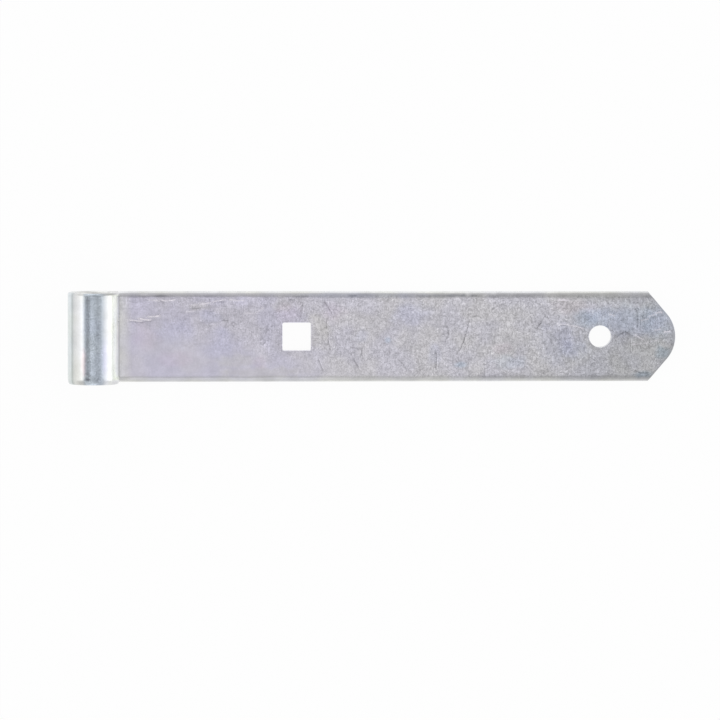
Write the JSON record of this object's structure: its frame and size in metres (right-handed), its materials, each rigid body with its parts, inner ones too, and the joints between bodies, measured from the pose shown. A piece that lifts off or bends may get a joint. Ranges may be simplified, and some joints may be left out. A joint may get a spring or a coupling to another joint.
{
  "type": "hinge band",
  "caption": "Flat steel hinge band, its end rolled into an eye that turns on a hook's pin, with a square hole, a round hole and a nose with sheared flanks.",
  "frame": {"origin": "on the pin's axis, midway along the rolled eye", "axes": "+X along the band from the eye to the nose, +Y along the pin's axis, +Z out of the front face, on the side that the eye stands up from; the band lies on its back face"},
  "size_m": [0.3, 0.045, 0.0254],
  "materials": {
    "zinc_plated_steel": "bright zinc plate with a faint violet and blue cast, over the grained skin of hot rolled flat bar"
  },
  "bodies": {
    "root": {"hinge_band": "zinc_plated_steel"}
  },
  "joints": []
}
